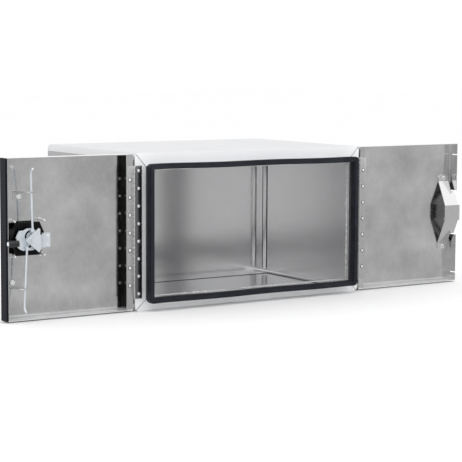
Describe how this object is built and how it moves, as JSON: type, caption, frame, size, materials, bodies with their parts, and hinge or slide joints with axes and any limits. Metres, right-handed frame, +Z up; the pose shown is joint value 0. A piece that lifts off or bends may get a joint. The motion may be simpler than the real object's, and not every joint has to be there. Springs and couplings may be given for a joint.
{
  "type": "truck tool box",
  "caption": "Aluminium underbody tool box with two side-hinged doors folded right back, piano hinges, mouth seal and a rod latch.",
  "frame": {"origin": "centre of the flat underside of the floor panel", "axes": "+X to the right along the front, +Y from the doors towards the back panel, +Z up"},
  "size_m": [1.6355, 0.5872, 0.457],
  "materials": {
    "aluminium_sheet": "smooth mill-finish sheet, lightly brushed",
    "stainless": "brushed stainless steel",
    "zinc": "bright zinc plated steel",
    "rubber_seal": "black EPDM rubber",
    "black_dish": "black moulded plastic",
    "black_roller": "black nylon"
  },
  "bodies": {
    "cabinet": {"roof_panel": "aluminium_sheet", "floor_panel": "aluminium_sheet", "left_end_panel": "aluminium_sheet", "right_end_panel": "aluminium_sheet", "back_panel": "aluminium_sheet", "frame_top": "aluminium_sheet", "frame_bottom": "aluminium_sheet", "frame_left": "aluminium_sheet", "frame_right": "aluminium_sheet", "door_gasket": "rubber_seal", "left_hinge_frame_leaf": "stainless", "left_hinge_pin": "stainless", "right_hinge_frame_leaf": "stainless", "right_hinge_pin": "stainless"},
    "left_door": {"left_door_pan": "aluminium_sheet", "left_hinge_door_leaf": "stainless", "left_door_edge_seal": "rubber_seal", "latch_dish": "black_dish", "dish_bolt_1": "zinc", "dish_bolt_2": "zinc", "dish_bolt_3": "zinc", "dish_bolt_4": "zinc", "dish_nut_1": "zinc", "dish_nut_2": "zinc", "dish_nut_3": "zinc", "dish_nut_4": "zinc", "latch_bracket": "zinc", "bracket_rivet_1": "stainless", "bracket_rivet_2": "stainless", "upper_rod_guide": "stainless", "lower_rod_guide": "stainless", "upper_guide_bolt": "stainless", "lower_guide_bolt": "stainless"},
    "right_door": {"right_door_pan": "aluminium_sheet", "right_hinge_door_leaf": "stainless", "strike_plate": "stainless", "strike_bolt_upper": "stainless", "strike_bolt_lower": "stainless"},
    "latch_hub": {"latch_spindle": "zinc", "cam_plate": "zinc", "roller_stud": "zinc", "spindle_nut": "zinc", "handle_pivot_pin": "stainless"},
    "roller": {"latch_roller": "black_roller"},
    "upper_rod_slider": {"upper_rod": "zinc", "upper_rod_pin": "zinc"},
    "lower_rod_slider": {"lower_rod": "zinc", "lower_rod_pin": "zinc"},
    "handle": {"t_handle": "stainless"},
    "lock": {"lock_plug": "stainless"}
  },
  "joints": [
    {"name": "left_door_swing", "type": "hinge", "parent": "cabinet", "child": "left_door", "pos_m": [-0.40725, -0.27675, 0.2285], "axis": [0, 0, 1], "range_deg": [-6, 180], "deforming": ["left_door_edge_seal"]},
    {"name": "right_door_swing", "type": "hinge", "parent": "cabinet", "child": "right_door", "pos_m": [0.40725, -0.27675, 0.2285], "axis": [0, 0, -1], "range_deg": [-6, 180], "deforming": ["door_gasket"]},
    {"name": "latch_turn", "type": "hinge", "parent": "left_door", "child": "latch_hub", "pos_m": [-0.74225, -0.2395, 0.228], "axis": [0, 1, 0], "range_deg": [0, 90]},
    {"name": "roller_spin", "type": "hinge", "parent": "latch_hub", "child": "roller", "pos_m": [-0.79525, -0.288, 0.2205], "axis": [1, 0, 0], "continuous": true},
    {"name": "upper_rod_slide", "type": "slide", "parent": "left_door", "child": "upper_rod_slider", "axis": [0.0244, 0, -0.9997], "range_m": [0, 0.0146]},
    {"name": "lower_rod_slide", "type": "slide", "parent": "left_door", "child": "lower_rod_slider", "axis": [0.0558, 0, 0.9984], "range_m": [0, 0.0146]},
    {"name": "handle_fold", "type": "hinge", "parent": "latch_hub", "child": "handle", "pos_m": [-0.74225, -0.245, 0.215], "axis": [-1, 0, 0], "range_deg": [0, 90]},
    {"name": "lock_turn", "type": "hinge", "parent": "handle", "child": "lock", "pos_m": [-0.74225, -0.2395, 0.23], "axis": [0, 1, 0], "range_deg": [0, 90]}
  ],
  "couplings": [
    {"joint": "upper_rod_slide", "follows": "latch_turn", "m_per_rad": 0.009231},
    {"joint": "lower_rod_slide", "follows": "latch_turn", "m_per_rad": 0.009231}
  ]
}
